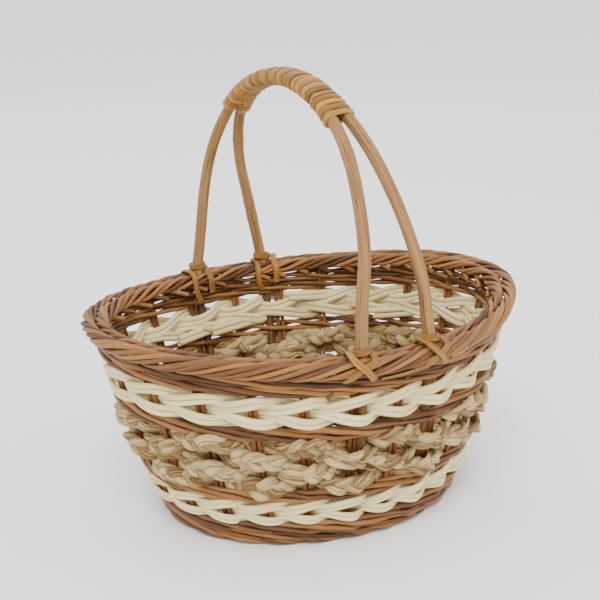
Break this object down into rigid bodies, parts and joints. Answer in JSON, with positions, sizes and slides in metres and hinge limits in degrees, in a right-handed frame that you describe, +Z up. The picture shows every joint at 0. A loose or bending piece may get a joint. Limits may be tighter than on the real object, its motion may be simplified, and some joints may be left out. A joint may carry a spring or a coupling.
{
  "type": "easter basket",
  "caption": "Oval willow basket with flared sides, bands of white rods and plaited husk, and a fixed arched handle of two rods bound with cane.",
  "frame": {"origin": "centre of the basket's foot, on the ground", "axes": "+Z up, +X along the oval's length, -Y the front; the handle spans the basket from front to back"},
  "size_m": [0.3404, 0.2858, 0.3272],
  "materials": {
    "brown_willow": "satin",
    "bleached_willow": "satin",
    "corn_husk": "matte",
    "stake_willow": "satin",
    "peeled_willow": "satin",
    "cane": "satin"
  },
  "bodies": {
    "root": {"base_cross_sticks": "stake_willow", "base_long_sticks": "stake_willow", "base_weave": "brown_willow", "foot_border": "brown_willow", "foot_wale": "brown_willow", "lower_pairing_bottom": "bleached_willow", "lower_pairing_top": "bleached_willow", "lower_wale": "brown_willow", "husk_row_1": "corn_husk", "husk_row_2": "corn_husk", "husk_row_3": "corn_husk", "husk_row_4": "corn_husk", "middle_wale": "brown_willow", "upper_pairing_bottom": "bleached_willow", "upper_pairing_top": "bleached_willow", "rim_wale_bottom": "brown_willow", "rim_wale_top": "brown_willow", "border_outer_rope": "brown_willow", "border_inner_rope": "brown_willow", "border_ends": "stake_willow", "stakes": "stake_willow", "liners": "stake_willow", "handle_rod_left": "peeled_willow", "handle_rod_right": "peeled_willow", "grip_wrap": "cane", "tie_front_left": "cane", "tie_front_right": "cane", "tie_back_left": "cane", "tie_back_right": "cane"}
  },
  "joints": []
}
